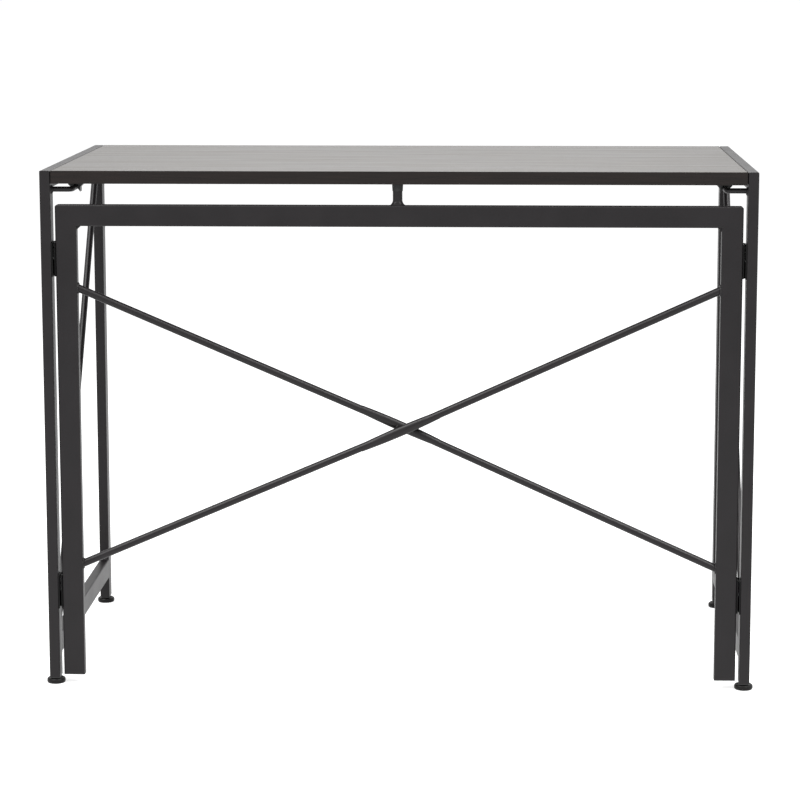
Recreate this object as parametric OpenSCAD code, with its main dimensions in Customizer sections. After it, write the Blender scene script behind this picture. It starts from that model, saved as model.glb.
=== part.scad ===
// Folding desk: a braced back frame, two side frames on vertical hinges, and a desktop that clips on top
// Millimetres, +Z up, floor at z = 0, -Y is the braced back of the desk

/* [Whole desk] */
// Width over the two side frames
desk_w = 1000; // [996:2:1100]
// Depth of a side frame, post face to post face
desk_d = 498; // [440:2:502]
// Height of the desktop's upper face over the floor
desk_h = 738; // [720:2:760]

/* [Side frames] */
// Width of a side frame's tubes, across the desk
side_tube_w = 15; // [14:0.5:17]
// Depth of the posts, and height of the top rail
side_tube_d = 25; // [23:0.5:28]
// Height of the lower side rail
lower_rail_h = 30; // [25:1:34]
// Underside of the lower side rail over the floor
lower_rail_z = 42; // [38:1:60]
// Diameter of the diagonal rods
diagonal_d = 10; // [8:0.5:11]
// Distance from the near post to where the diagonal's middle line meets the lower rail's top
diagonal_near = 7; // [7:1:40]
// Distance from the far post to where the diagonal's middle line meets the top rail
diagonal_far = 8; // [7:1:50]

/* [Back frame] */
// Width of the back frame's tubes, seen from behind
back_tube_w = 30; // [26:1:32]
// Depth of the back frame's tubes
back_tube_d = 15; // [14:0.5:16]
// How far the back frame stands behind the near face of the side frames
back_setback = 5; // [3:0.5:6]
// Underside of the back frame's posts over the floor
back_clear = 15; // [14:1:30]
// Top of the back frame below the desktop's upper face
back_drop = 48; // [44:1:70]
// Diameter of the two crossing rods
brace_d = 11; // [8:0.5:11]
// Upper ends of the crossing rods below the desktop's upper face
brace_drop = 166; // [120:2:230]
// Height of the crossing rods' lower ends
brace_low = 175.5; // [130:0.5:220]
// Sideways place of the crossing, which isn't quite in the middle
cross_x = 10; // [-10:1:20]
// Diameter of the short post in the middle of the top rail
stub_d = 13.5; // [10:0.5:13.5]
// Diameter of the rubber cap on the short post
stub_cap_d = 15.5; // [14.5:0.5:17]

/* [Hinges] */
// Gap between a side frame and the back frame, which the hinge fills
hinge_gap = 5; // [4.8:0.1:6.5]
// Height of a hinge
hinge_h = 48; // [46:1:56]
// Middle of the upper hinges below the desktop's upper face
hinge_drop = 125; // [110:0.5:140]
// Height of the lower hinges' middle
hinge_low = 135.5; // [125:0.5:150]
// Thickness of a hinge leaf
leaf_t = 1.7; // [1.6:0.1:2]
// Diameter of a hinge pin
hinge_pin_d = 2.5; // [2.2:0.1:2.8]

/* [Desktop and clips] */
// Thickness of the desktop
top_t = 18; // [16:1:20]
// Gap between the desktop and each top side rail
top_gap = 1; // [0.5:0.1:2]
// Diameter of the bent support pins
pin_d = 7.5; // [7:0.5:8]
// How far the pins reach in from the posts
pin_reach = 28.5; // [27:0.5:32]
// Depth of the pins' middle line below the desktop's underside
pin_drop = 8.6; // [8:0.1:10]
// Length of the pins along the side rails
pin_run = 60; // [56:1:70]
// Distance of a clip's middle from the end of the side frame
clip_in = 53; // [48:1:58]
// Length of a clip along its pin
clip_len = 14; // [12:1:16]
// Wall of a clip beside its pin
clip_wall = 2.9; // [2.5:0.1:3.2]

/* [Feet] */
// Underside of the side frames' posts over the floor
foot_z = 10; // [10:0.5:12]
// Diameter of a levelling foot
glide_d = 26.5; // [24:0.5:28]
// Diameter of a levelling foot's stem
stem_d = 8; // [6:0.5:8]

/* [Hidden] */
$fn = 48;
half_w = desk_w / 2;
half_d = desk_d / 2;
wall = 1.2;
tube_r = 2;
weld_swell = 0.2;
run_fit = 0.05;
seat_fit = 0.1;
// How far a cutting shape reaches past what it cuts, and how deep joined shapes of one piece overlap
past = 1;
lap = 0.1;
hair = 0.01;
// How far a rod is drawn beyond its end before it's cut to fit its tube
rod_over = 30;

inner_x = half_w - side_tube_w;
side_x = half_w - side_tube_w / 2;
post_y = half_d - side_tube_d / 2;
rail_low_z = desk_h - side_tube_d;
top_low_z = desk_h - top_t;

back_out_x = inner_x - hinge_gap;
back_in_x = back_out_x - back_tube_w;
back_front_y = -half_d + back_setback;
back_rear_y = back_front_y + back_tube_d;
back_mid_y = (back_front_y + back_rear_y) / 2;
back_top_z = desk_h - back_drop;
corner_r = 4;
corner_bead_leg = 5.5;
brace_high = desk_h - brace_drop;
// The crossing leans towards the camera, which keeps it clear of the folded side frames
cross_lean = 1;
stub_flare_r = 9;
stub_flare_h = 7.6;
stub_flare_w = 5;
stub_flare_in = 0.5;
stub_cap_h = 10;
stub_cap_t = 2;
plug_len = 15;
plug_flange = 1.5;
plug_r = 0.7;

hinge_high = desk_h - hinge_drop;
hinge_x = inner_x - hinge_gap / 2;
hinge_y = back_rear_y + 1;
barrel_r = hinge_gap / 2 - 0.1;
knuckle_gap = 2;
leaf_edge = 0.3;
leaf_clear = 0.3;
fixed_leaf_y = back_rear_y - 2 * barrel_r;
leaf_mid_y = (-half_d + leaf_edge + hinge_y - barrel_r) / 2;
back_leaf_y = (back_front_y + leaf_edge + fixed_leaf_y) / 2;
pin_head_d = hinge_pin_d + 1.5;
pin_head_h = 0.7;
pin_head_gap = 0.1;

pin_x = inner_x - pin_reach;
pin_z = top_low_z - pin_drop;
pin_bend = 7;
clip_y = half_d - clip_in;
clip_in_r = pin_d / 2 + seat_fit;
clip_side = clip_in_r + clip_wall;
// How much narrower than the pin a clip's mouth is on each side, so that it snaps on
clip_grip = 0.5;
clip_shoulder = 10.6;
clip_lip = 6.3;
clip_tip = 0.5;
// How far the cut for the mouth is drawn past its corners, as a share of its slope
clip_cut_over = 0.3;
clip_half = 18;
clip_plate = 1.8;
clip_screw_off = 14.2;

glide_h = 8;
glide_low_edge = 1.2;
glide_top_edge = 1.6;
insert_flange = 1.2;
insert_flange_in = 0.6;
insert_len = 24;
stem_len = 26;

screw_d = 3;
screw_head_d = 6;
screw_head_h = 1.4;
hinge_screw_off = hinge_h / 2 - 8;
hinge_screw_len = 7;
clip_screw_len = 12;
clip_screw_head_d = 5.5;
clip_screw_head_h = 2;

panel_x = inner_x - top_gap;
skin_t = 0.5;
band_t = 1;

steel = [0.20, 0.20, 0.20];
black = [0.07, 0.07, 0.07];
zinc = [0.55, 0.55, 0.56];
board = [0.55, 0.43, 0.30];
laminate = [0.25, 0.20, 0.17];

// Profiles and prisms along each axis

module rounded(a, b, r) {
    square([a - 2 * r, b], center = true);
    square([a, b - 2 * r], center = true);
    for (i = [-1, 1], j = [-1, 1]) translate([i * (a / 2 - r), j * (b / 2 - r)]) circle(r);
}

module tube_profile(a, b) {
    difference() {
        rounded(a, b, tube_r);
        rounded(a - 2 * wall, b - 2 * wall, tube_r - wall);
    }
}

module along_x(x0, x1, y, z) translate([x0, y, z]) rotate([90, 0, 90]) linear_extrude(x1 - x0) children();
module along_y(y0, y1, x, z) translate([x, y0, z]) rotate([-90, 0, 0]) linear_extrude(y1 - y0) children();
module along_z(z0, z1, x, y) translate([x, y, z0]) linear_extrude(z1 - z0) children();

// A prism with an outline in the YZ plane, from x0 to x1
module yz_prism(x0, x1, points) along_x(x0, x1, 0, 0) polygon(points);

// A prism with an outline in the XZ plane, from y0 to y1
module xz_prism(y0, y1, points) translate([0, y1, 0]) rotate([90, 0, 0]) linear_extrude(y1 - y0) polygon(points);

module box(x0, x1, y0, y1, z0, z1) translate([x0, y0, z0]) cube([x1 - x0, y1 - y0, z1 - z0]);

// A straight round bar from one point to another
module bar(a, b, d) {
    v = b - a;
    len = norm(v);
    translate(a) rotate([0, acos(v[2] / len), atan2(v[1], v[0])]) cylinder(d = d, h = len);
}

// Mirror a left-hand piece over to the right
module right_hand() mirror([1, 0, 0]) children();

// Holes for hinge screws through a wall, from x0 to x1
module hinge_screw_holes(x0, x1, y, z, d) {
    for (s = [-1, 1]) translate([x0, y, z + s * hinge_screw_off]) rotate([0, 90, 0]) cylinder(d = d, h = x1 - x0);
}

// Side frame, drawn on the left

// The outline that a post keeps below its mitre with the top rail
module post_side_of_mitre(s) {
    depth = side_tube_d + past;
    yz_prism(-half_w - past, -inner_x + past, [
        [s * (half_d + past), 0], [s * (half_d - depth), 0],
        [s * (half_d - depth), desk_h - depth], [s * (half_d + past), desk_h + past]
    ]);
}

module side_post(s) {
    intersection() {
        along_z(foot_z, desk_h, -side_x, s * post_y) tube_profile(side_tube_w, side_tube_d);
        post_side_of_mitre(s);
    }
}

module near_post() {
    difference() {
        side_post(-1);
        for (z = [hinge_high, hinge_low])
            hinge_screw_holes(-inner_x - wall - past, -inner_x + past, leaf_mid_y, z, screw_d + 2 * seat_fit);
    }
}

module top_side_rail() {
    difference() {
        along_y(-half_d, half_d, -side_x, desk_h - side_tube_d / 2) tube_profile(side_tube_w, side_tube_d);
        post_side_of_mitre(-1);
        post_side_of_mitre(1);
    }
}

module lower_side_rail() {
    along_y(-half_d + side_tube_d, half_d - side_tube_d, -side_x, lower_rail_z + lower_rail_h / 2)
        tube_profile(side_tube_w, lower_rail_h);
}

// The diagonal's ends are cut flush with the tubes that they're welded to
module side_diagonal() {
    low_z = lower_rail_z + lower_rail_h;
    a = [-side_x, -half_d + side_tube_d + diagonal_near, low_z];
    b = [-side_x, half_d - side_tube_d - diagonal_far, rail_low_z];
    v = (b - a) / norm(b - a);
    intersection() {
        bar(a - rod_over * v, b + rod_over * v, diagonal_d);
        box(-half_w, -inner_x, -half_d + side_tube_d, half_d - side_tube_d, low_z, rail_low_z);
    }
}

// A round pin that leaves the post's inner face and turns along the side rail; s is -1 near, 1 far
module support_pin(s) {
    y = s * post_y;
    translate([-inner_x, y, pin_z]) rotate([0, 90, 0]) cylinder(d = pin_d, h = pin_reach - pin_bend);
    translate([-pin_x - pin_bend, y - s * pin_bend, pin_z]) rotate([0, 0, s > 0 ? 0 : -90])
        rotate_extrude(angle = 90) translate([pin_bend, 0]) circle(d = pin_d);
    translate([-pin_x, y - s * pin_bend, pin_z]) rotate([s * 90, 0, 0]) cylinder(d = pin_d, h = pin_run - pin_bend);
}

// A plastic plug in the post's lower end that carries the foot's stem
module foot_insert(s) {
    difference() {
        union() {
            along_z(foot_z, foot_z + insert_len, -side_x, s * post_y)
                rounded(side_tube_w - 2 * wall - 2 * seat_fit, side_tube_d - 2 * wall - 2 * seat_fit, plug_r);
            along_z(foot_z - insert_flange, foot_z, -side_x, s * post_y)
                rounded(side_tube_w - 2 * insert_flange_in, side_tube_d - 2 * insert_flange_in, tube_r);
        }
        translate([-side_x, s * post_y, 0]) cylinder(d = stem_d + 2 * run_fit, h = foot_z + insert_len + past);
    }
}

// Hinges, drawn on the left: two leaves, one knuckle each, on one pin

module knuckle(z0, z1) {
    translate([-hinge_x, hinge_y, z0]) cylinder(r = barrel_r, h = z1 - z0);
}

module pin_bore(z) {
    translate([-hinge_x, hinge_y, z - hinge_h]) cylinder(d = hinge_pin_d + 2 * run_fit, h = 2 * hinge_h);
}

// A countersunk hole that opens towards side s of x
module countersink(x, y, z, s) {
    for (k = [-1, 1]) translate([x, y, z + k * hinge_screw_off]) rotate([0, s * 90, 0]) {
        translate([0, 0, -screw_head_h - seat_fit])
            cylinder(d1 = screw_d + 2 * seat_fit, d2 = screw_head_d + 2 * seat_fit, h = screw_head_h + seat_fit + hair);
        translate([0, 0, -2 * leaf_t]) cylinder(d = screw_d + 2 * seat_fit, h = 2 * leaf_t);
    }
}

// The leaf on the side frame's near post, with the upper knuckle
module moving_leaf(z) {
    low = z - hinge_h / 2;
    high = z + hinge_h / 2;
    split = z + knuckle_gap / 2;
    x = -inner_x + leaf_t;
    edge_y = hinge_y - barrel_r - leaf_clear;
    difference() {
        union() {
            box(-inner_x, x, -half_d + leaf_edge, edge_y, low, high);
            box(-inner_x, x, edge_y - lap, hinge_y, split, high);
            knuckle(split, high);
        }
        pin_bore(z);
        countersink(x, leaf_mid_y, z, 1);
    }
}

// The leaf on the back frame's post, with the lower knuckle
module fixed_leaf(z) {
    low = z - hinge_h / 2;
    high = z + hinge_h / 2;
    split = z - knuckle_gap / 2;
    x = -back_out_x - leaf_t;
    difference() {
        union() {
            box(x, -back_out_x, back_front_y + leaf_edge, fixed_leaf_y, low, high);
            box(x, -back_out_x, fixed_leaf_y - lap, hinge_y, low, split);
            knuckle(low, split);
        }
        pin_bore(z);
        countersink(x, back_leaf_y, z, -1);
    }
}

// A countersunk screw whose head lies flush at x and whose shank runs to side -s
module hinge_screw(x, y, z, s) {
    translate([x, y, z]) rotate([0, s * 90, 0]) {
        translate([0, 0, -screw_head_h]) cylinder(d1 = screw_d, d2 = screw_head_d, h = screw_head_h);
        translate([0, 0, -hinge_screw_len]) cylinder(d = screw_d, h = hinge_screw_len - screw_head_h + hair);
    }
}

// A pin with a small head on top and another below
module hinge_pin(z) {
    over = pin_head_h + pin_head_gap;
    translate([-hinge_x, hinge_y, z - hinge_h / 2 - over]) {
        cylinder(d = hinge_pin_d, h = hinge_h + 2 * over);
        cylinder(d = pin_head_d, h = pin_head_h);
        translate([0, 0, hinge_h + over + pin_head_gap]) cylinder(d = pin_head_d, h = pin_head_h);
    }
}

module side_hinge_screws() {
    for (z = [hinge_high, hinge_low], k = [-1, 1])
        hinge_screw(-inner_x + leaf_t, leaf_mid_y, z + k * hinge_screw_off, 1);
}

// Back frame

// The outline that a back post keeps below its mitre with the top rail
module back_post_side_of_mitre(s) {
    depth = back_tube_w + past;
    xz_prism(back_front_y - past, back_rear_y + past, [
        [s * (back_out_x + past), 0], [s * (back_out_x - depth), 0],
        [s * (back_out_x - depth), back_top_z - depth], [s * (back_out_x + past), back_top_z + past]
    ]);
}

// What grinding takes off the back frame's upper corners
module ground_corner() {
    translate([0, back_rear_y + past, 0]) rotate([90, 0, 0]) linear_extrude(back_tube_d + 2 * past) difference() {
        translate([-back_out_x - past, back_top_z - corner_r]) square(corner_r + past);
        translate([-back_out_x + corner_r, back_top_z - corner_r]) circle(corner_r);
    }
}

module back_post() {
    difference() {
        intersection() {
            along_z(back_clear, back_top_z, -back_out_x + back_tube_w / 2, back_mid_y)
                tube_profile(back_tube_w, back_tube_d);
            back_post_side_of_mitre(-1);
        }
        ground_corner();
        for (z = [hinge_high, hinge_low])
            hinge_screw_holes(-back_out_x - past, -back_out_x + wall + past, back_leaf_y, z, screw_d + 2 * seat_fit);
    }
}

// A flat ground weld across an inner corner, as deep as the tube's flat face
module corner_bead() {
    low = back_top_z - back_tube_w;
    xz_prism(back_front_y + tube_r, back_rear_y - tube_r, [
        [-back_in_x, low], [-back_in_x, low - corner_bead_leg], [-back_in_x + corner_bead_leg, low]
    ]);
}

module back_rail() {
    difference() {
        along_x(-back_out_x, back_out_x, back_mid_y, back_top_z - back_tube_w / 2)
            tube_profile(back_tube_d, back_tube_w);
        back_post_side_of_mitre(-1);
        back_post_side_of_mitre(1);
        ground_corner();
        mirror([1, 0, 0]) ground_corner();
    }
    corner_bead();
    mirror([1, 0, 0]) corner_bead();
}

// A rod that bends a little at the crossing; s is -1 for the rod nearer the camera
module brace_rod(s) {
    lift = s < 0 ? 1 : -1;
    middle = (brace_high + brace_low) / 2;
    rise = (brace_high - brace_low) / 2;
    cross = [cross_x, back_mid_y - cross_lean + s * (brace_d / 2 + weld_swell), middle];
    left = [-back_in_x, back_mid_y, middle - lift * rise];
    right = [back_in_x, back_mid_y, middle + lift * rise];
    intersection() {
        union() {
            bar(cross, left + rod_over * (left - cross) / norm(left - cross), brace_d);
            bar(cross, right + rod_over * (right - cross) / norm(right - cross), brace_d);
            translate(cross) sphere(d = brace_d + weld_swell);
        }
        box(-back_in_x, back_in_x, back_front_y - brace_d, back_rear_y + brace_d, 0, back_top_z);
    }
}

// The short middle post, with a weld that flares out to the top rail's faces
module stub() {
    reach = stub_d / 2 + stub_flare_w;
    deep = back_tube_d / 2 - stub_flare_in;
    translate([0, back_mid_y, back_top_z]) {
        cylinder(d = stub_d, h = top_low_z - back_top_z - stub_cap_t);
        intersection() {
            rotate_extrude() difference() {
                translate([stub_d / 4, 0]) square([stub_d / 4 + stub_flare_w, stub_flare_h]);
                translate([stub_d / 2 + stub_flare_r, stub_flare_h]) circle(stub_flare_r);
            }
            box(-reach, reach, -deep, deep, 0, stub_flare_h);
        }
    }
}

module cap() {
    translate([0, back_mid_y, top_low_z - stub_cap_h]) difference() {
        cylinder(d = stub_cap_d, h = stub_cap_h);
        translate([0, 0, -past]) cylinder(d = stub_d, h = stub_cap_h - stub_cap_t + past);
    }
}

// A plastic plug in the lower end of a back post
module back_plug() {
    along_z(back_clear, back_clear + plug_len, -back_out_x + back_tube_w / 2, back_mid_y)
        rounded(back_tube_w - 2 * wall - 2 * seat_fit, back_tube_d - 2 * wall - 2 * seat_fit, plug_r);
    along_z(back_clear - plug_flange, back_clear, -back_out_x + back_tube_w / 2, back_mid_y)
        rounded(back_tube_w, back_tube_d, tube_r);
}

// A levelling foot: a thick round pad with bevelled edges, and a stem
module glide(s) {
    r = glide_d / 2;
    translate([-side_x, s * post_y, 0]) {
        rotate_extrude() polygon([
            [0, 0], [r - glide_low_edge, 0], [r, glide_low_edge],
            [r, glide_h - glide_top_edge], [r - glide_top_edge, glide_h], [0, glide_h]
        ]);
        cylinder(d = stem_d, h = glide_h + stem_len);
    }
}

// Desktop

// A layer of the desktop inside its edge bands, from z0 to z1
module panel(z0, z1) {
    box(-panel_x + band_t, panel_x - band_t, -half_d + band_t, half_d - band_t, z0, z1);
}

module core() {
    difference() {
        panel(top_low_z + skin_t, desk_h - skin_t);
        clip_screw_holes(top_low_z, top_low_z + clip_screw_len);
    }
}

module top_skin() panel(desk_h - skin_t, desk_h);

module under_skin() {
    difference() {
        panel(top_low_z, top_low_z + skin_t);
        clip_screw_holes(top_low_z - past, top_low_z + skin_t + past);
    }
}

module long_band(s) {
    outer = s * half_d;
    inner = s * (half_d - band_t);
    box(-panel_x + band_t, panel_x - band_t, min(outer, inner), max(outer, inner), top_low_z, desk_h);
}

module short_band() {
    box(-panel_x, -panel_x + band_t, -half_d, half_d, top_low_z, desk_h);
}

// Every place where a clip screw goes
module at_clip_screws() {
    for (i = [-1, 1], j = [-1, 1], k = [-1, 1]) translate([i * pin_x + k * clip_screw_off, j * clip_y, 0]) children();
}

module clip_screw_holes(z0, z1) {
    at_clip_screws() translate([0, 0, z0]) cylinder(d = screw_d + 2 * run_fit, h = z1 - z0);
}

// A clip seen along its pin: a plate, a block that narrows to the pin, and two pointed lips below a snap mouth
module clip_profile() {
    plate_z = pin_drop - clip_plate;
    mouth = pin_d / 2 - clip_grip;
    corner = [mouth, -sqrt(clip_in_r * clip_in_r - mouth * mouth)];
    tip = [clip_side - clip_tip, -clip_lip];
    over = clip_cut_over * (tip - corner);
    high = corner - over;
    low = tip + over;
    difference() {
        polygon([
            [-clip_side, -clip_lip], [clip_side, -clip_lip], [clip_side, 0], [clip_shoulder, clip_shoulder - clip_side],
            [clip_shoulder, plate_z], [clip_half, plate_z], [clip_half, pin_drop],
            [-clip_half, pin_drop], [-clip_half, plate_z], [-clip_shoulder, plate_z],
            [-clip_shoulder, clip_shoulder - clip_side], [-clip_side, 0]
        ]);
        circle(clip_in_r);
        polygon([[-low[0], low[1]], low, high, [-high[0], high[1]]]);
    }
}

module clip(s) {
    difference() {
        translate([-pin_x, s * clip_y + clip_len / 2, pin_z]) rotate([90, 0, 0])
            linear_extrude(clip_len) clip_profile();
        for (k = [-1, 1]) translate([-pin_x + k * clip_screw_off, s * clip_y, top_low_z - clip_plate - past])
            cylinder(d = screw_d + 2 * seat_fit, h = clip_plate + 2 * past);
    }
}

// Pan head screws that hold the clips
module all_clip_screws() {
    at_clip_screws() translate([0, 0, top_low_z - clip_plate]) {
        translate([0, 0, -clip_screw_head_h]) cylinder(d = clip_screw_head_d, h = clip_screw_head_h);
        cylinder(d = screw_d, h = clip_plate + clip_screw_len - past);
    }
}

module at_hinges() {
    children();
    right_hand() children();
}

// One module for each separate piece

module back_left_post() color(steel) back_post();
module back_right_post() color(steel) right_hand() back_post();
module back_top_rail() color(steel) back_rail();
module brace_rod_front() color(steel) brace_rod(-1);
module brace_rod_rear() color(steel) brace_rod(1);
module centre_stub() color(steel) stub();
module stub_cap() color(black) cap();
module back_left_plug() color(black) back_plug();
module back_right_plug() color(black) right_hand() back_plug();
module hinge_fixed_upper_left() color(black) fixed_leaf(hinge_high);
module hinge_fixed_lower_left() color(black) fixed_leaf(hinge_low);
module hinge_fixed_upper_right() color(black) right_hand() fixed_leaf(hinge_high);
module hinge_fixed_lower_right() color(black) right_hand() fixed_leaf(hinge_low);
module hinge_pins() color(black) at_hinges() for (z = [hinge_high, hinge_low]) hinge_pin(z);
module hinge_screws_back() color(black) at_hinges() for (z = [hinge_high, hinge_low], k = [-1, 1])
    hinge_screw(-back_out_x - leaf_t, back_leaf_y, z + k * hinge_screw_off, -1);

module left_near_post() color(steel) near_post();
module left_far_post() color(steel) side_post(1);
module left_top_rail() color(steel) top_side_rail();
module left_lower_rail() color(steel) lower_side_rail();
module left_diagonal() color(steel) side_diagonal();
module left_near_pin() color(steel) support_pin(-1);
module left_far_pin() color(steel) support_pin(1);
module left_near_insert() color(black) foot_insert(-1);
module left_far_insert() color(black) foot_insert(1);
module left_hinge_upper_leaf() color(black) moving_leaf(hinge_high);
module left_hinge_lower_leaf() color(black) moving_leaf(hinge_low);
module left_hinge_screws() color(black) side_hinge_screws();

module right_near_post() color(steel) right_hand() near_post();
module right_far_post() color(steel) right_hand() side_post(1);
module right_top_rail() color(steel) right_hand() top_side_rail();
module right_lower_rail() color(steel) right_hand() lower_side_rail();
module right_diagonal() color(steel) right_hand() side_diagonal();
module right_near_pin() color(steel) right_hand() support_pin(-1);
module right_far_pin() color(steel) right_hand() support_pin(1);
module right_near_insert() color(black) right_hand() foot_insert(-1);
module right_far_insert() color(black) right_hand() foot_insert(1);
module right_hinge_upper_leaf() color(black) right_hand() moving_leaf(hinge_high);
module right_hinge_lower_leaf() color(black) right_hand() moving_leaf(hinge_low);
module right_hinge_screws() color(black) right_hand() side_hinge_screws();

module glide_near_left() color(black) glide(-1);
module glide_far_left() color(black) glide(1);
module glide_near_right() color(black) right_hand() glide(-1);
module glide_far_right() color(black) right_hand() glide(1);

module desktop_core() color(board) core();
module desktop_top_skin() color(laminate) top_skin();
module desktop_under_skin() color(laminate) under_skin();
module edge_band_near() color(laminate) long_band(-1);
module edge_band_far() color(laminate) long_band(1);
module edge_band_left() color(laminate) short_band();
module edge_band_right() color(laminate) right_hand() short_band();
module clip_near_left() color(black) clip(-1);
module clip_far_left() color(black) clip(1);
module clip_near_right() color(black) right_hand() clip(-1);
module clip_far_right() color(black) right_hand() clip(1);
module clip_screws() color(zinc) all_clip_screws();

back_left_post();
back_right_post();
back_top_rail();
brace_rod_front();
brace_rod_rear();
centre_stub();
stub_cap();
back_left_plug();
back_right_plug();
hinge_fixed_upper_left();
hinge_fixed_lower_left();
hinge_fixed_upper_right();
hinge_fixed_lower_right();
hinge_pins();
hinge_screws_back();
left_near_post();
left_far_post();
left_top_rail();
left_lower_rail();
left_diagonal();
left_near_pin();
left_far_pin();
left_near_insert();
left_far_insert();
left_hinge_upper_leaf();
left_hinge_lower_leaf();
left_hinge_screws();
right_near_post();
right_far_post();
right_top_rail();
right_lower_rail();
right_diagonal();
right_near_pin();
right_far_pin();
right_near_insert();
right_far_insert();
right_hinge_upper_leaf();
right_hinge_lower_leaf();
right_hinge_screws();
glide_near_left();
glide_far_left();
glide_near_right();
glide_far_right();
desktop_core();
desktop_top_skin();
desktop_under_skin();
edge_band_near();
edge_band_far();
edge_band_left();
edge_band_right();
clip_near_left();
clip_far_left();
clip_near_right();
clip_far_right();
clip_screws();
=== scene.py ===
# Folding desk: its looks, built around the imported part, in metres and on the part's own axes
from math import atan, cos, pi, radians, sin

import bpy
from mathutils import Matrix, Vector


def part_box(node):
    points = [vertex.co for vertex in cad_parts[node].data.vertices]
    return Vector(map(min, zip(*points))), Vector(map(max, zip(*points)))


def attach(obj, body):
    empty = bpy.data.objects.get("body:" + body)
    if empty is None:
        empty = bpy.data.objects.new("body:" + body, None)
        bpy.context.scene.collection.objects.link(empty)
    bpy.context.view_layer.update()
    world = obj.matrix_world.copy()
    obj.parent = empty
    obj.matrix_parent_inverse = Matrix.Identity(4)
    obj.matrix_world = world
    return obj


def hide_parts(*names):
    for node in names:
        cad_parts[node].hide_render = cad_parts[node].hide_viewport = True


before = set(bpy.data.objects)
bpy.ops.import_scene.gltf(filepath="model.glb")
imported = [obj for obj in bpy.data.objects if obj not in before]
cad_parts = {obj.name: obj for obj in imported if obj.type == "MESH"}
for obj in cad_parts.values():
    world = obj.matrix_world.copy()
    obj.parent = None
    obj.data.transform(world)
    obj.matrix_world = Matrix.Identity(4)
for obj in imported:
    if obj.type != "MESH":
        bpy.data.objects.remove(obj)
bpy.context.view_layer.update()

# Camera
# It stands behind the desk, a little above the desktop and to the right, where the photograph was taken from.
# Its place, turn and lens were fitted to the desk's corners. The shifted lens's axis meets row 350 of 800.
image_size = 800
axis_row = 350
lens_in_pixels = 2601.93
sensor_width = 36
eye = Vector((0.147066, -3.848555, 1.034748))
eye_yaw = -0.039832
eye_pitch = 0.150643
eye_roll = 0.000922

camera_data = bpy.data.cameras.new("photo_camera")
camera_data.sensor_width = sensor_width
camera_data.lens = lens_in_pixels / image_size * sensor_width
camera_data.shift_y = (axis_row - image_size / 2) / image_size
ahead = Vector((sin(eye_yaw) * cos(eye_pitch), cos(eye_yaw) * cos(eye_pitch), -sin(eye_pitch)))
level_right = Vector((cos(eye_yaw), -sin(eye_yaw), 0))
level_down = ahead.cross(level_right)
right = cos(eye_roll) * level_right + sin(eye_roll) * level_down
up = sin(eye_roll) * level_right - cos(eye_roll) * level_down
camera = bpy.data.objects.new("photo_camera", camera_data)
camera.matrix_world = Matrix.Translation(eye) @ Matrix((right, up, -ahead)).transposed().to_4x4()
bpy.context.scene.collection.objects.link(camera)
bpy.context.scene.camera = camera
bpy.context.scene.view_settings.view_transform = "Standard"


# Studio floor, sky and lights
# A pale floor and a white sky, plain white to the camera and in glossy paint. The floor keeps a faint shadow.
# Soft boxes hang over the desk, at its right, beyond it and high up on the camera's side.
def linear(hex_colour):
    """A colour written as sRGB hex, as the linear values that the nodes take."""
    parts = [int(hex_colour[i:i + 2], 16) / 255 for i in (1, 3, 5)]
    return [p / 12.92 if p <= 0.04045 else ((p + 0.055) / 1.055) ** 2.4 for p in parts] + [1]


def add_node(tree, kind, settings={}, links={}):
    """Adds a node. A setting is its property or a socket's value, and a link is another node's output."""
    node = tree.nodes.new(kind)
    for name, value in settings.items():
        if isinstance(name, str) and hasattr(node, name):
            setattr(node, name, value)
        else:
            node.inputs[name].default_value = value
    for name, output in links.items():
        tree.links.new(output, node.inputs[name])
    return node


def seen_directly(tree):
    """1 where a camera, glossy or transmission ray meets the floor or sky, and 0 where light falls on it."""
    path = add_node(tree, "ShaderNodeLightPath")
    both = add_node(tree, "ShaderNodeMath", {"operation": "MAXIMUM"},
                    {0: path.outputs["Is Camera Ray"], 1: path.outputs["Is Glossy Ray"]})
    return add_node(tree, "ShaderNodeMath", {"operation": "MAXIMUM"},
                    {0: both.outputs[0], 1: path.outputs["Is Transmission Ray"]}).outputs[0]


def new_finish(name):
    """A material with no nodes yet, and its tree."""
    material = bpy.data.materials.new(name)
    material.use_nodes = True
    material.node_tree.nodes.clear()
    return material, material.node_tree


white = linear("#ffffff")
sky_light = 0.55
sky_seen = 1.12
sky = bpy.data.worlds.new("white_sky")
bpy.context.scene.world = sky
sky.use_nodes = True
sky.node_tree.nodes.clear()
light_sky = add_node(sky.node_tree, "ShaderNodeBackground", {"Color": white, "Strength": sky_light})
seen_sky = add_node(sky.node_tree, "ShaderNodeBackground", {"Color": white, "Strength": sky_seen})
mixed_sky = add_node(sky.node_tree, "ShaderNodeMixShader", {},
                     {0: seen_directly(sky.node_tree), 1: light_sky.outputs[0], 2: seen_sky.outputs[0]})
add_node(sky.node_tree, "ShaderNodeOutputWorld", {}, {"Surface": mixed_sky.outputs[0]})

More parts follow.
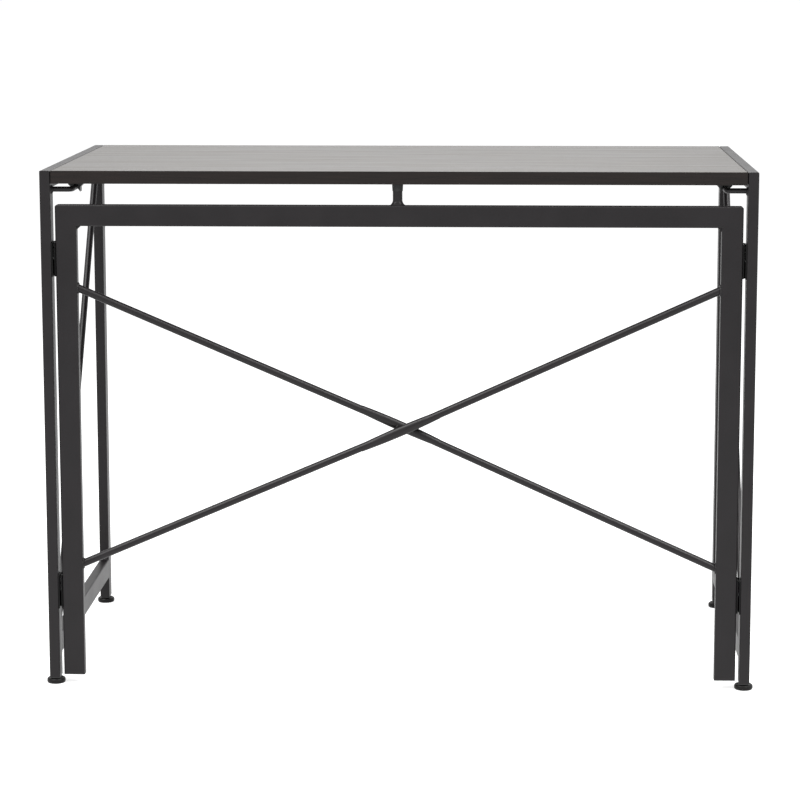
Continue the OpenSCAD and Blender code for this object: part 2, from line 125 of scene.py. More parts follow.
floor_width = 120
floor_glow = 0.69
bpy.ops.object.select_all(action="DESELECT")
bpy.ops.mesh.primitive_plane_add(size=floor_width, location=(0, 0, 0))
floor = bpy.context.object
floor.name = "studio_floor"
floor_paint, tree = new_finish("Pale studio floor")
pale = add_node(tree, "ShaderNodeBsdfDiffuse", {"Color": linear("#c8c8c8")})
glow = add_node(tree, "ShaderNodeEmission", {"Color": white, "Strength": floor_glow})
dark = add_node(tree, "ShaderNodeEmission", {"Color": linear("#000000"), "Strength": 0})
seen_glow = add_node(tree, "ShaderNodeMixShader", {},
                     {0: seen_directly(tree), 1: dark.outputs[0], 2: glow.outputs[0]})
glowing_floor = add_node(tree, "ShaderNodeAddShader", {}, {0: pale.outputs[0], 1: seen_glow.outputs[0]})
add_node(tree, "ShaderNodeOutputMaterial", {}, {"Surface": glowing_floor.outputs[0]})
floor.data.materials.append(floor_paint)

lamps_aim = Vector((0, 0, 0.4))
for lamp_name, lamp_place, lamp_size, lamp_power in [
    ("soft_box_over", (0.2, 0.1, 2.9), 2.4, 20),
    ("soft_box_upper_left", (-2.0, -1.7, 3.4), 1.8, 160),
    ("soft_box_upper_right", (2.1, -1.7, 3.4), 1.8, 160),
    ("soft_box_side", (2.8, 0.6, 1.8), 1.4, 14),
    ("soft_box_behind", (-0.1, 2.6, 2.8), 1.8, 20),
]:
    lamp_data = bpy.data.lights.new(lamp_name, "AREA")
    lamp_data.shape = "SQUARE"
    lamp_data.size = lamp_size
    lamp_data.energy = lamp_power
    lamp = bpy.data.objects.new(lamp_name, lamp_data)
    lamp.location = lamp_place
    lamp.rotation_euler = (lamps_aim - Vector(lamp_place)).to_track_quat("-Z", "Y").to_euler()
    bpy.context.scene.collection.objects.link(lamp)


# Steel tubes and rods of the back frame and the two side frames
# Welded rectangular tube and round rod, ground at the corners and powder coated in charcoal after welding.
# The coat is a fine matt one: dark from the front, and grey where it is seen along the surface.
def finish_with(tree, settings, links):
    """The shader and the output at the end of a material's tree."""
    shader = add_node(tree, "ShaderNodeBsdfPrincipled", settings, links)
    add_node(tree, "ShaderNodeOutputMaterial", {}, {"Surface": shader.outputs[0]})


def dress(material, *nodes):
    """Gives a finish to CAD nodes."""
    for name in nodes:
        for material_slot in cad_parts[name].material_slots:
            material_slot.material = material


powder_coat, tree = new_finish("Charcoal powder coat on steel")
place = add_node(tree, "ShaderNodeTexCoord").outputs["Object"]
# The orange peel of a powder coat is about 1 mm wide, and is drawn 2.5 mm wide so that it shows
peel = add_node(tree, "ShaderNodeTexNoise", {"Scale": 400, "Detail": 2, "Roughness": 0.6}, {"Vector": place})
# The coat is a little thicker or thinner every 50 mm or so
thickness = add_node(tree, "ShaderNodeTexNoise", {"Scale": 20, "Detail": 2}, {"Vector": place})
shade = add_node(tree, "ShaderNodeValToRGB", {}, {"Fac": thickness.outputs["Fac"]})
shade.color_ramp.elements[0].position = 0.35
shade.color_ramp.elements[0].color = linear("#0c090b")
shade.color_ramp.elements[1].position = 0.65
shade.color_ramp.elements[1].color = linear("#110e10")
gloss = add_node(tree, "ShaderNodeMapRange", {"To Min": 0.37, "To Max": 0.47},
                 {"Value": thickness.outputs["Fac"]})
relief = add_node(tree, "ShaderNodeBump", {"Strength": 0.42, "Distance": 0.0002},
                  {"Height": peel.outputs["Fac"]})
finish_with(tree, {"Specular IOR Level": 0.26},
            {"Base Color": shade.outputs["Color"], "Roughness": gloss.outputs["Result"],
             "Normal": relief.outputs["Normal"]})
dress(powder_coat, "back_left_post", "back_right_post", "back_top_rail", "brace_rod_front", "brace_rod_rear",
      "centre_stub")
side_frame_pieces = ("near_post", "far_post", "top_rail", "lower_rail", "diagonal", "near_pin", "far_pin")
for side in ("left", "right"):
    dress(powder_coat, *[f"{side}_{piece}" for piece in side_frame_pieces])


# Pressed middle of the two crossing rods
# The rods are bent past each other and pressed together where they cross, which has made them a little wider:
# for 60 mm to either side of a point that lies 8 mm to the camera's left of the crossing.
def join_as(name, pieces):
    """Joins pieces into one, and names it."""
    bpy.ops.object.select_all(action="DESELECT")
    for piece in pieces:
        piece.select_set(True)
    bpy.context.view_layer.objects.active = pieces[0]
    bpy.ops.object.join()
    joined = bpy.context.object
    joined.name = name
    return joined


def cover(piece, *materials):
    """Gives a new piece its finishes."""
    piece.data.materials.clear()
    for material in materials:
        piece.data.materials.append(material)


back_post_low, back_post_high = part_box("back_left_post")
back_in_x = abs(back_post_high.x)
back_mid_y = (back_post_low.y + back_post_high.y) / 2
rod_radius = 0.0055
rod_ends_z = (0.572, 0.1755)
rod_rise = (rod_ends_z[0] - rod_ends_z[1]) / (2 * back_in_x)
rod_bend = 0.0057
cross_x = 0.010
cross_nearer = 0.001
cross_y = back_mid_y - cross_nearer
cross_z = sum(rod_ends_z) / 2
press_reach = 0.06
press_aside = -0.008
press_swell = 0.0017
# In depth and at its ends it lies this far under the rods' own surface
press_sunk = 0.0001
press_steps = 24
half_depth = rod_radius - press_sunk

pressed_rods = []
for nearer in (-1, 1):
    bpy.ops.object.select_all(action="DESELECT")
    bpy.ops.mesh.primitive_circle_add(vertices=32, radius=1, fill_type="NGON", rotation=(0, pi / 2, 0))
    rod = bpy.context.object
    bpy.ops.object.transform_apply(rotation=True)
    bpy.ops.object.mode_set(mode="EDIT")
    bpy.ops.mesh.select_all(action="SELECT")
    # The circle is drawn out along the rod, and each ring is scaled from the size of the one before it
    past_along, past_aside, past_depth, past_width = 0, 0, 1, 1
    for i in range(press_steps + 1):
        share = 2 * i / press_steps - 1
        along = press_aside + share * press_reach
        aside = nearer * rod_bend * (1 - abs(along) / back_in_x)
        half_width = half_depth + press_swell * (1 - share ** 2)
        if i > 0:
            bpy.ops.mesh.extrude_region_move(
                TRANSFORM_OT_translate={"value": (along - past_along, aside - past_aside, 0)})
        else:
            bpy.ops.transform.translate(value=(along, aside, 0))
        bpy.ops.transform.resize(value=(1, half_depth / past_depth, half_width / past_width),
                                 center_override=(along, aside, 0))
        past_along, past_aside, past_depth, past_width = along, aside, half_depth, half_width
    bpy.ops.mesh.select_all(action="SELECT")
    bpy.ops.mesh.normals_make_consistent(inside=False)
    bpy.ops.object.mode_set(mode="OBJECT")
    rod_slope = Matrix.Rotation(atan(nearer * rod_rise), 4, "Y")
    rod.data.transform(Matrix.Translation((cross_x, cross_y, cross_z)) @ rod_slope)
    pressed_rods.append(rod)
pressed_middle = join_as("brace_rods_pressed_middle", pressed_rods)
bpy.ops.object.shade_smooth_by_angle(angle=radians(40))
cover(pressed_middle, powder_coat)
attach(pressed_middle, "back_frame")


# Weld beads
# The rods, pins and lower rails are welded on with short beads of overlapping drops, which the coat covers.
# The mitred outer corners are ground flush, so they show none.
bead_voxel = 0.00045


def weld_drops(path, drop_radius):
    """Overlapping drops of steel along a path of points, joined into one bead."""
    bpy.ops.object.select_all(action="DESELECT")
    bpy.ops.mesh.primitive_ico_sphere_add(subdivisions=2, radius=drop_radius, location=path[0])
    first = bpy.context.object
    bpy.ops.object.transform_apply(location=True)
    drops = [first]
    for point in path[1:]:
        mesh = first.data.copy()
        mesh.transform(Matrix.Translation(point - path[0]))
        drop = bpy.data.objects.new("drop", mesh)
        bpy.context.scene.collection.objects.link(drop)
        drops.append(drop)
    return join_as("bead", drops)


def ring(centre, reach, cross_reach, count):
    """Points on an ellipse round a centre, whose two half axes are given as vectors."""
    turns = [2 * pi * i / count for i in range(count)]
    return [Vector(centre) + cos(turn) * Vector(reach) + sin(turn) * Vector(cross_reach) for turn in turns]


def seam(start, end, count):
    """Points on a straight line."""
    return [Vector(start).lerp(Vector(end), i / (count - 1)) for i in range(count)]


def melt(name, beads):
    """Joins beads, melts their drops together and smooths what is left a little."""
    welds = join_as(name, beads)
    remesh = welds.modifiers.new("melt", "REMESH")
    remesh.mode = "VOXEL"
    remesh.voxel_size = bead_voxel
    bpy.ops.object.modifier_apply(modifier="melt")
    smooth = welds.modifiers.new("soften", "SMOOTH")
    smooth.iterations = 2
    bpy.ops.object.modifier_apply(modifier="soften")
    bpy.ops.object.shade_smooth()
    cover(welds, powder_coat)
    return welds


drop_size = 0.0019
drops_out = 0.0003
rod_drops_out = 0.0005
# The rods meet the posts at a slant, which makes their joints longer upwards
rod_stretch = (1 + rod_rise ** 2) ** 0.5
# Two dabs of weld hold the rods together, one at either side of their crossing
dab_size = 0.0024
dab_aside = 0.011
dab_half = 0.003
beads = []
for side_x in (-1, 1):
    for end_z in rod_ends_z:
        beads.append(weld_drops(
            ring((side_x * back_in_x, back_mid_y, end_z), (0, rod_radius + drops_out, 0),
                 (0, 0, rod_radius * rod_stretch + rod_drops_out), count=20), drop_size))
    dab_x = cross_x + side_x * dab_aside
    beads.append(weld_drops(
        seam((dab_x, cross_y, cross_z - dab_half), (dab_x, cross_y, cross_z + dab_half), count=3), dab_size))
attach(melt("back_frame_welds", beads), "back_frame")

pin_radius = 0.00375
pin_drop_size = 0.0017
torch_drop_size = 0.0021
torch_half = 0.0022
torch_below = 0.0009
rail_seam_half = 0.0058
# The diagonal leans, so its joints with the two rails are ellipses, longer along the desk's depth
diagonal_reach_x = 0.0053
diagonal_reach_y = 0.0062
diagonal_ends = ((-0.217, 0.072), (0.216, 0.713))
for side_x, side in ((-1, "left"), (1, "right")):
    post_low, post_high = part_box(f"{side}_near_post")
    rail_low, rail_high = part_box(f"{side}_lower_rail")
    inner_x = side_x * min(abs(post_low.x), abs(post_high.x))
    mid_x = (post_low.x + post_high.x) / 2
    post_y = (post_low.y + post_high.y) / 2
    beads = []
    for end, pin_y in (("near", post_y), ("far", -post_y)):
        pin_low, pin_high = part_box(f"{side}_{end}_pin")
        pin_z = (pin_low.z + pin_high.z) / 2
        beads.append(weld_drops(
            ring((inner_x, pin_y, pin_z), (0, pin_radius + drops_out, 0),
                 (0, 0, pin_radius + drops_out), count=16), pin_drop_size))
        # The welder's torch came from below and left more steel there
        torch_z = pin_z - pin_radius - torch_below
        beads.append(weld_drops(
            seam((inner_x, pin_y - torch_half, torch_z), (inner_x, pin_y + torch_half, torch_z), count=4),
            torch_drop_size))
    for end_y in (rail_low.y, rail_high.y):
        for end_z in (rail_low.z, rail_high.z):
            beads.append(weld_drops(
                seam((mid_x - rail_seam_half, end_y, end_z), (mid_x + rail_seam_half, end_y, end_z), count=9),
                drop_size))
    for end_y, end_z in diagonal_ends:
        beads.append(weld_drops(
            ring((mid_x, end_y, end_z), (diagonal_reach_x, 0, 0), (0, diagonal_reach_y, 0), count=18),
            drop_size))
    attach(melt(f"{side}_frame_welds", beads), f"{side}_side_frame")


# Rubber cap on the short middle post
# A soft black cap pushed over the post's upper end, a little wider at its top, on which the desktop rests.
rubber, tree = new_finish("Moulded black rubber")
place = add_node(tree, "ShaderNodeTexCoord").outputs["Object"]
# Wax blooms out of the rubber in patches of about 4 mm
bloom = add_node(tree, "ShaderNodeTexNoise", {"Scale": 260, "Detail": 3}, {"Vector": place})
shade = add_node(tree, "ShaderNodeValToRGB", {}, {"Fac": bloom.outputs["Fac"]})
shade.color_ramp.elements[0].color = linear("#111111")
shade.color_ramp.elements[1].color = linear("#1a1a1a")
relief = add_node(tree, "ShaderNodeBump", {"Strength": 0.2, "Distance": 0.0001},
                  {"Height": bloom.outputs["Fac"]})
finish_with(tree, {"Roughness": 0.68, "Specular IOR Level": 0.4},
            {"Base Color": shade.outputs["Color"], "Normal": relief.outputs["Normal"]})


def turned(name, profile, steps):
    """A shape turned round the Z axis from a profile of radii and heights, which begins and ends on it."""
    bpy.ops.object.select_all(action="DESELECT")
    bpy.ops.mesh.primitive_plane_add(size=0.001)
    piece = bpy.context.object
    piece.name = name
    bpy.ops.object.mode_set(mode="EDIT")
    bpy.ops.mesh.select_all(action="SELECT")
    bpy.ops.mesh.merge(type="CENTER")
    bpy.ops.transform.translate(value=(profile[0][0], 0, profile[0][1]))
    for (radius, height), (next_radius, next_height) in zip(profile, profile[1:]):
        bpy.ops.mesh.extrude_region_move(
            TRANSFORM_OT_translate={"value": (next_radius - radius, 0, next_height - height)})
    bpy.ops.mesh.select_all(action="SELECT")
    bpy.ops.mesh.spin(steps=steps, angle=2 * pi, center=(0, 0, 0), axis=(0, 0, 1))
    bpy.ops.mesh.select_all(action="SELECT")
    bpy.ops.mesh.remove_doubles(threshold=0.000005)
    bpy.ops.mesh.normals_make_consistent(inside=False)
    bpy.ops.object.mode_set(mode="OBJECT")
    bpy.ops.object.shade_smooth_by_angle(angle=radians(35))
    return piece


cap_low, cap_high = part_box("stub_cap")
cap_radius = (cap_high.x - cap_low.x) / 2
cap_height = cap_high.z - cap_low.z
cap_base = ((cap_low.x + cap_high.x) / 2, (cap_low.y + cap_high.y) / 2, cap_low.z)
cap_lid = 0.002
socket_radius = 0.00675
cap = turned("rubber_cap", [
    (0, cap_height), (cap_radius - 0.0006, cap_height), (cap_radius, cap_height - 0.0005),
    (cap_radius - 0.0001, cap_height * 0.7), (cap_radius - 0.0003, cap_height * 0.35),
    (cap_radius - 0.0004, 0.0004), (cap_radius - 0.0006, 0),
    (socket_radius, 0), (socket_radius, cap_height - cap_lid), (0, cap_height - cap_lid),
], steps=40)
cap.data.transform(Matrix.Translation(cap_base))
cover(cap, rubber)
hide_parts("stub_cap")
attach(cap, "back_frame")


# Plugs and foot inserts in the tubes' lower ends
# Moulded black polyethylene with the fine grain that a spark-eroded mould leaves, pushed into the tubes.
plug_plastic, tree = new_finish("Moulded black polyethylene")
place = add_node(tree, "ShaderNodeTexCoord").outputs["Object"]
# The mould's grain is about 0.3 mm, and is drawn at 1 mm
grain = add_node(tree, "ShaderNodeTexNoise", {"Scale": 1000, "Detail": 2}, {"Vector": place})
# The gloss changes every 17 mm or so, where the melt flowed
flow = add_node(tree, "ShaderNodeTexNoise", {"Scale": 60, "Detail": 1}, {"Vector": place})
gloss = add_node(tree, "ShaderNodeMapRange", {"To Min": 0.42, "To Max": 0.56}, {"Value": flow.outputs["Fac"]})
relief = add_node(tree, "ShaderNodeBump", {"Strength": 0.15, "Distance": 0.0001},
                  {"Height": grain.outputs["Fac"]})
finish_with(tree, {"Base Color": linear("#151516"), "Specular IOR Level": 0.45},
            {"Roughness": gloss.outputs["Result"], "Normal": relief.outputs["Normal"]})
dress(plug_plastic, "back_left_plug", "back_right_plug", "left_near_insert", "left_far_insert",
      "right_near_insert", "right_far_insert")


# Levelling feet
# A dark grey nylon pad with a rounded rim, moulded round a threaded steel stem that screws into the insert.
foot_plastic, tree = new_finish("Moulded dark grey nylon")
place = add_node(tree, "ShaderNodeTexCoord").outputs["Object"]
# Scuffs 5 to 6 mm across
scuffs = add_node(tree, "ShaderNodeTexNoise", {"Scale": 180, "Detail": 4}, {"Vector": place})
shade = add_node(tree, "ShaderNodeValToRGB", {}, {"Fac": scuffs.outputs["Fac"]})
shade.color_ramp.elements[0].position = 0.3
shade.color_ramp.elements[0].color = linear("#080707")
shade.color_ramp.elements[1].position = 0.7
shade.color_ramp.elements[1].color = linear("#0f0d0d")
relief = add_node(tree, "ShaderNodeBump", {"Strength": 0.2, "Distance": 0.0001},
                  {"Height": scuffs.outputs["Fac"]})
finish_with(tree, {"Roughness": 0.42, "Specular IOR Level": 0.16},
            {"Base Color": shade.outputs["Color"], "Normal": relief.outputs["Normal"]})

zinc, tree = new_finish("Bright zinc plate on steel")
place = add_node(tree, "ShaderNodeTexCoord").outputs["Object"]
# The tint of the passivated plating changes every 4 mm or so
passivation = add_node(tree, "ShaderNodeTexNoise", {"Scale": 240, "Detail": 3}, {"Vector": place})
shade = add_node(tree, "ShaderNodeValToRGB", {}, {"Fac": passivation.outputs["Fac"]})
shade.color_ramp.elements[0].color = linear("#aeb2b8")
shade.color_ramp.elements[1].color = linear("#c6c5bf")
gloss = add_node(tree, "ShaderNodeMapRange", {"To Min": 0.24, "To Max": 0.4},
                 {"Value": passivation.outputs["Fac"]})
finish_with(tree, {"Metallic": 1},
            {"Base Color": shade.outputs["Color"], "Roughness": gloss.outputs["Result"]})

stem_radius = 0.004
root_radius = stem_radius - 0.0006
stem_pitch = 0.00125
crest_width = 0.00015
pad_height = 0.008
rim_height = 0.0076
groove_height = 0.0071
for end in ("near", "far"):
    for side in ("left", "right"):
        node = f"glide_{end}_{side}"
        foot_low, foot_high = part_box(node)
        foot_x = (foot_low.x + foot_high.x) / 2
        foot_y = (foot_low.y + foot_high.y) / 2
        foot_radius = (foot_high.x - foot_low.x) / 2
        thread = []
        thread_z = pad_height + 0.0002
        while thread_z + stem_pitch < foot_high.z - 0.0006:
            thread += [(stem_radius, thread_z), (stem_radius, thread_z + crest_width),
                       (root_radius, thread_z + stem_pitch / 2)]
            thread_z += stem_pitch
        foot = turned(f"foot_{end}_{side}", [
            (0, 0.0004), (0.0078, 0.0004), (0.0084, 0), (foot_radius - 0.0021, 0),
            (foot_radius - 0.0011, 0.0003), (foot_radius - 0.0004, 0.001), (foot_radius, 0.0021),
            (foot_radius, 0.0048), (foot_radius - 0.0003, 0.0058), (foot_radius - 0.0009, 0.0067),
            (foot_radius - 0.0017, 0.0073), (foot_radius - 0.0027, rim_height),
            (foot_radius - 0.004, rim_height), (foot_radius - 0.0045, groove_height),
            (stem_radius + 0.0032, groove_height), (stem_radius + 0.0026, pad_height),
            (stem_radius, pad_height), *thread, (root_radius, foot_high.z - 0.0004), (0, foot_high.z),
        ], steps=48)
        foot.data.transform(Matrix.Translation((foot_x, foot_y, 0)))
        cover(foot, foot_plastic, zinc)
        for face in foot.data.polygons:
            from_axis = (face.center.xy - Vector((foot_x, foot_y))).length
            if face.center.z > pad_height and from_axis < stem_radius + 0.0001:
                face.material_index = 1
        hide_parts(node)
        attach(foot, node)


# Hinges
# Pressed steel leaves with curled knuckles on a riveted pin, coated in satin black by dipping.
hinge_black, tree = new_finish("Black dip coat on pressed steel")
place = add_node(tree, "ShaderNodeTexCoord").outputs["Object"]
# Rubbed patches about 7 mm across
rub = add_node(tree, "ShaderNodeTexNoise", {"Scale": 140, "Detail": 3}, {"Vector": place})
shade = add_node(tree, "ShaderNodeValToRGB", {}, {"Fac": rub.outputs["Fac"]})
shade.color_ramp.elements[0].color = linear("#020202")
shade.color_ramp.elements[1].color = linear("#060606")
gloss = add_node(tree, "ShaderNodeMapRange", {"To Min": 0.3, "To Max": 0.44}, {"Value": rub.outputs["Fac"]})
finish_with(tree, {"Specular IOR Level": 0.14},
            {"Base Color": shade.outputs["Color"], "Roughness": gloss.outputs["Result"]})
dress(hinge_black, "hinge_fixed_upper_left", "hinge_fixed_lower_left", "hinge_fixed_upper_right",
      "hinge_fixed_lower_right", "hinge_pins", "left_hinge_upper_leaf", "left_hinge_lower_leaf",
      "right_hinge_upper_leaf", "right_hinge_lower_leaf")


# Hinge screws
# Countersunk screws with a cross recess and a cut thread, plated in black zinc. Two in each leaf hold the
# hinges to the tubes, and each stops at a turn of its own.
shank_radius = 0.0015
wing_length = 0.003
wing_width = 0.0006
wing_taper = 0.35
screw_turn = 0.7


def cross_screw(name, profile, recess_depth):
    """A screw turned from a profile, head up, with a cross recess sunk into its head."""
    screw = turned(name, profile, steps=28)
    head_z = profile[0][1]
    for turn in (0, pi / 2):
        bpy.ops.object.select_all(action="DESELECT")
        bpy.ops.mesh.primitive_cube_add(
            size=1, scale=(wing_length, wing_width, 2 * recess_depth), location=(0, 0, head_z))
        wing = bpy.context.object
        bpy.ops.object.transform_apply(location=True, scale=True)
        bpy.ops.object.mode_set(mode="EDIT")
        bpy.ops.mesh.select_all(action="DESELECT")
        bpy.ops.object.mode_set(mode="OBJECT")
        for corner in wing.data.vertices:
            corner.select = corner.co.z < head_z
        bpy.ops.object.mode_set(mode="EDIT")
        bpy.ops.transform.resize(value=(wing_taper, 1, 1), center_override=(0, 0, head_z - recess_depth))
        bpy.ops.object.mode_set(mode="OBJECT")
        wing.data.transform(Matrix.Rotation(turn, 4, "Z"))
        cut = screw.modifiers.new("recess", "BOOLEAN")
        cut.operation = "DIFFERENCE"
        cut.solver = "EXACT"
        cut.object = wing
        bpy.context.view_layer.objects.active = screw
        bpy.ops.object.modifier_apply(modifier="recess")
        bpy.data.objects.remove(wing)
    return screw


def screw_thread(depth, pitch, top_z, tip_z):
    """The profile of a screw's thread from under the head down to the tip."""
    points = []
    z = top_z
    while z - pitch > tip_z + pitch:
        points += [(shank_radius, z - pitch * 0.35), (shank_radius, z - pitch * 0.5),
                   (shank_radius - depth, z - pitch)]
        z -= pitch
    return points + [(0, tip_z)]


def place_screws(name, node, model, places, body, finish):
    """Copies of a screw, one for each place and way of its head, as one piece that stands for a CAD node."""
    copies = []
    for i, (point, head_way) in enumerate(places):
        mesh = model.data.copy()
        turn = Vector(head_way).to_track_quat("Z", "Y").to_matrix() @ Matrix.Rotation(screw_turn * i, 3, "Z")
        mesh.transform(Matrix.Translation(point) @ turn.to_4x4())
        copy = bpy.data.objects.new(name, mesh)
        bpy.context.scene.collection.objects.link(copy)
        copies.append(copy)
    piece = join_as(name, copies)
    cover(piece, finish)
    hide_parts(node)
    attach(piece, body)


black_zinc, tree = new_finish("Black zinc on screw steel")
place = add_node(tree, "ShaderNodeTexCoord").outputs["Object"]
# The film of oil on the plating lies in patches of about 2 mm
oil = add_node(tree, "ShaderNodeTexNoise", {"Scale": 500, "Detail": 2}, {"Vector": place})
gloss = add_node(tree, "ShaderNodeMapRange", {"To Min": 0.28, "To Max": 0.42}, {"Value": oil.outputs["Fac"]})
finish_with(tree, {"Base Color": linear("#2c2c2e"), "Metallic": 1}, {"Roughness": gloss.outputs["Result"]})

head_radius = 0.003
head_depth = 0.0014
countersunk = cross_screw("countersunk_screw", [
    (0, 0), (head_radius - 0.0001, 0), (head_radius, -0.0001), (shank_radius, -head_depth),
    *screw_thread(depth=0.0003, pitch=0.0008, top_z=-head_depth, tip_z=-0.007),
], recess_depth=0.0009)

leaf_boxes = [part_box(leaf) for leaf in ("left_hinge_upper_leaf", "left_hinge_lower_leaf")]
half_spacing = 0.016
screw_heights = [(low.z + high.z) / 2 + way * half_spacing for low, high in leaf_boxes for way in (-1, 1)]
leaf_thickness = 0.0017
back_leaf_y = -0.23875
side_leaf_y = -0.23955
back_head_x = abs(back_post_low.x) + leaf_thickness
side_head_x = abs(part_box("right_near_post")[0].x) - leaf_thickness
place_screws("back_hinge_screws", "hinge_screws_back", countersunk, [
    (Vector((side_x * back_head_x, back_leaf_y, screw_z)), (side_x, 0, 0))
    for side_x in (-1, 1) for screw_z in screw_heights
], "back_frame", black_zinc)
for side_x, side in ((-1, "left"), (1, "right")):
    place_screws(f"{side}_side_hinge_screws", f"{side}_hinge_screws", countersunk, [
        (Vector((side_x * side_head_x, side_leaf_y, screw_z)), (-side_x, 0, 0)) for screw_z in screw_heights
    ], f"{side}_side_frame", black_zinc)
bpy.data.objects.remove(countersunk)


# Snap clips and their screws
# Black nylon clips, moulded, whose rings spring over the frames' bent pins. Two zinc-plated screws with a pan
# head and a cross recess hold each clip under the desktop.
clip_nylon, tree = new_finish("Moulded black nylon")
place = add_node(tree, "ShaderNodeTexCoord").outputs["Object"]
# The gloss changes every 11 mm or so, where the melt flowed
flow = add_node(tree, "ShaderNodeTexNoise", {"Scale": 90, "Detail": 2}, {"Vector": place})
gloss = add_node(tree, "ShaderNodeMapRange", {"To Min": 0.3, "To Max": 0.42}, {"Value": flow.outputs["Fac"]})
finish_with(tree, {"Base Color": linear("#0e0e0f"), "Specular IOR Level": 0.45},
            {"Roughness": gloss.outputs["Result"]})
dress(clip_nylon, "clip_near_left", "clip_far_left", "clip_near_right", "clip_far_right")

pan_radius = 0.00275
pan_height = 0.002
pan_screw = cross_screw("pan_screw", [
    (0, 0), (pan_radius * 0.55, -0.0002), (pan_radius * 0.9, -0.0008), (pan_radius, -0.0014),
    (pan_radius, -pan_height), (shank_radius, -pan_height),
    *screw_thread(depth=0.00035, pitch=0.0011, top_z=-pan_height, tip_z=-0.0146),
], recess_depth=0.0011)
clip_plate = 0.0018
clip_x = 0.4565
clip_y = 0.196
clip_screw_x = 0.0142
head_top_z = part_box("desktop_under_skin")[0].z - clip_plate - pan_height
place_screws("clip_cross_screws", "clip_screws", pan_screw, [
    (Vector((side_x * clip_x + way * clip_screw_x, side_y * clip_y, head_top_z)), (0, 0, -1))
    for side_x in (-1, 1) for side_y in (-1, 1) for way in (-1, 1)
], "desktop", zinc)
bpy.data.objects.remove(pan_screw)


# Desktop board
# Particle board: pressed chips in glue, seen only in the screw holes.
particle_board, tree = new_finish("Raw particle board")
place = add_node(tree, "ShaderNodeTexCoord").outputs["Object"]
# Chips about 3 mm across
chips = add_node(tree, "ShaderNodeTexVoronoi", {"Scale": 350, "Randomness": 1}, {"Vector": place})
shade = add_node(tree, "ShaderNodeValToRGB", {}, {"Fac": chips.outputs["Distance"]})
shade.color_ramp.elements[0].color = linear("#b79a72")
shade.color_ramp.elements[1].color = linear("#7d6342")
relief = add_node(tree, "ShaderNodeBump", {"Strength": 0.5, "Distance": 0.0004},
                  {"Height": chips.outputs["Distance"]})
finish_with(tree, {"Roughness": 0.85},
            {"Base Color": shade.outputs["Color"], "Normal": relief.outputs["Normal"]})
dress(particle_board, "desktop_core")


# Desktop's upper skin
# Melamine paper printed as dark open-grained wood, pressed with a fine grain relief along the desk's length.
# Seen low across the surface it mirrors the studio softly and turns grey, as in the photograph.
laminate, tree = new_finish("Dark wood-grain melamine")
place = add_node(tree, "ShaderNodeTexCoord").outputs["Object"]
# Growth bands 20 mm wide that run for about 220 mm
band_place = add_node(tree, "ShaderNodeMapping", {"Scale": (4.5, 50, 50)}, {"Vector": place})
growth = add_node(tree, "ShaderNodeTexNoise", {"Scale": 1, "Detail": 4, "Roughness": 0.55, "Distortion": 0.6},
                  {"Vector": band_place.outputs[0]})
# Pores 1.2 mm wide and 40 mm long
pore_place = add_node(tree, "ShaderNodeMapping", {"Scale": (25, 830, 830)}, {"Vector": place})
pores = add_node(tree, "ShaderNodeTexNoise", {"Scale": 1, "Detail": 2, "Roughness": 0.5},
                 {"Vector": pore_place.outputs[0]})
wood = add_node(tree, "ShaderNodeValToRGB", {}, {"Fac": growth.outputs["Fac"]})
wood.color_ramp.elements[0].position = 0.3
wood.color_ramp.elements[0].color = linear("#272321")
wood.color_ramp.elements[1].position = 0.7
wood.color_ramp.elements[1].color = linear("#3d3832")
pore_depth = add_node(tree, "ShaderNodeMapRange", {"From Min": 0.32, "From Max": 0.5},
                      {"Value": pores.outputs["Fac"]})
print_colour = add_node(tree, "ShaderNodeMix", {"data_type": "RGBA", "A": linear("#1b1816")},
                        {"Factor": pore_depth.outputs["Result"], "B": wood.outputs["Color"]})
gloss = add_node(tree, "ShaderNodeMapRange",
                 {"From Min": 0.3, "From Max": 0.7, "To Min": 0.33, "To Max": 0.45},
                 {"Value": growth.outputs["Fac"]})
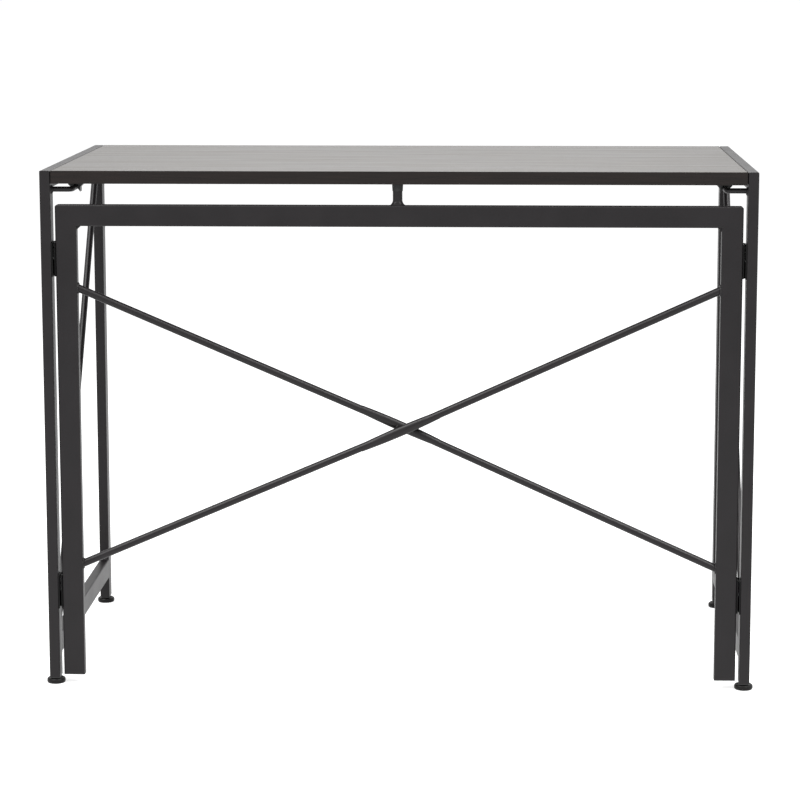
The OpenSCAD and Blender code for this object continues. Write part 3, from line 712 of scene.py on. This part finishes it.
relief = add_node(tree, "ShaderNodeBump", {"Strength": 0.12, "Distance": 0.0001},
                  {"Height": pore_depth.outputs["Result"]})
finish_with(tree, {}, {"Base Color": print_colour.outputs["Result"], "Roughness": gloss.outputs["Result"],
                       "Normal": relief.outputs["Normal"]})
dress(laminate, "desktop_top_skin")


# Desktop's lower skin
# A plain dark backing sheet, slightly uneven, that keeps the board from warping.
backing, tree = new_finish("Dark backing melamine")
place = add_node(tree, "ShaderNodeTexCoord").outputs["Object"]
# The sheet's tint changes every 30 mm or so
cloud = add_node(tree, "ShaderNodeTexNoise", {"Scale": 35, "Detail": 4}, {"Vector": place})
shade = add_node(tree, "ShaderNodeValToRGB", {}, {"Fac": cloud.outputs["Fac"]})
shade.color_ramp.elements[0].color = linear("#26211e")
shade.color_ramp.elements[1].color = linear("#322b27")
finish_with(tree, {"Roughness": 0.5}, {"Base Color": shade.outputs["Color"]})
dress(backing, "desktop_under_skin")


# Desktop's edge bands
# Plastic strip printed as dark wood, glued to the board's four sides.
edge_print, tree = new_finish("Printed dark edge band")
place = add_node(tree, "ShaderNodeTexCoord").outputs["Object"]
# Streaks 2 mm wide and 60 mm long
streak_place = add_node(tree, "ShaderNodeMapping", {"Scale": (16, 16, 500)}, {"Vector": place})
streaks = add_node(tree, "ShaderNodeTexNoise", {"Scale": 1, "Detail": 3, "Roughness": 0.6},
                   {"Vector": streak_place.outputs[0]})
shade = add_node(tree, "ShaderNodeValToRGB", {}, {"Fac": streaks.outputs["Fac"]})
shade.color_ramp.elements[0].position = 0.3
shade.color_ramp.elements[0].color = linear("#0d0a09")
shade.color_ramp.elements[1].position = 0.7
shade.color_ramp.elements[1].color = linear("#1a1412")
relief = add_node(tree, "ShaderNodeBump", {"Strength": 0.15, "Distance": 0.0001},
                  {"Height": streaks.outputs["Fac"]})
finish_with(tree, {"Roughness": 0.62, "Specular IOR Level": 0.18},
            {"Base Color": shade.outputs["Color"], "Normal": relief.outputs["Normal"]})
dress(edge_print, "edge_band_near", "edge_band_far", "edge_band_left", "edge_band_right")
